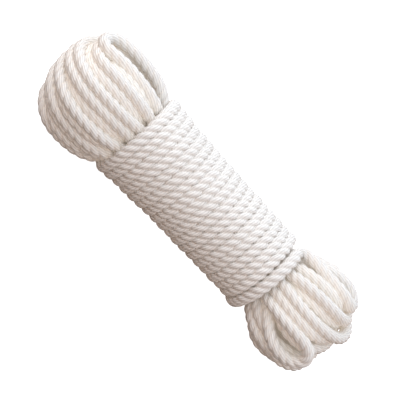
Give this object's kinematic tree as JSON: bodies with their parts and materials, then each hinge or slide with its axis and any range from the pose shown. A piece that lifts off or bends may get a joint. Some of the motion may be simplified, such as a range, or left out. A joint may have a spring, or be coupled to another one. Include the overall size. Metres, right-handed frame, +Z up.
{
  "type": "coiled dock line",
  "caption": "White laid dock line made up into a hank: long loops bound by close wrapping turns round the middle, with an eye at the head to hang it by and fanned loops at the other end.",
  "frame": {"origin": "on the surface the hank lies on, under the middle of its box", "axes": "+X along the hank from the head with the eye to the fan end, +Z up, -Y towards the viewer of the picture"},
  "size_m": [0.3294, 0.1022, 0.0952],
  "materials": {
    "laid_rope": "white laid synthetic fibre with a soft sheen"
  },
  "bodies": {
    "root": {"locking_turn": "laid_rope", "loop_01": "laid_rope", "loop_02": "laid_rope", "loop_03": "laid_rope", "loop_04": "laid_rope", "loop_05": "laid_rope", "loop_06": "laid_rope", "loop_07": "laid_rope", "loop_08": "laid_rope", "loop_09": "laid_rope", "loop_10": "laid_rope", "loop_11": "laid_rope", "loop_12": "laid_rope", "loop_13": "laid_rope", "loop_14": "laid_rope", "loop_15": "laid_rope", "loop_16": "laid_rope", "loop_17": "laid_rope", "tucked_end": "laid_rope", "wrap_turn_01": "laid_rope", "wrap_turn_02": "laid_rope", "wrap_turn_03": "laid_rope", "wrap_turn_04": "laid_rope", "wrap_turn_05": "laid_rope", "wrap_turn_06": "laid_rope", "wrap_turn_07": "laid_rope", "wrap_turn_08": "laid_rope", "wrap_turn_09": "laid_rope", "wrap_turn_10": "laid_rope", "wrap_turn_11": "laid_rope", "wrap_turn_12": "laid_rope", "wrap_turn_13": "laid_rope", "wrap_turn_14": "laid_rope", "wrap_turn_15": "laid_rope", "wrap_turn_16": "laid_rope", "wrap_turn_17": "laid_rope"}
  },
  "joints": []
}
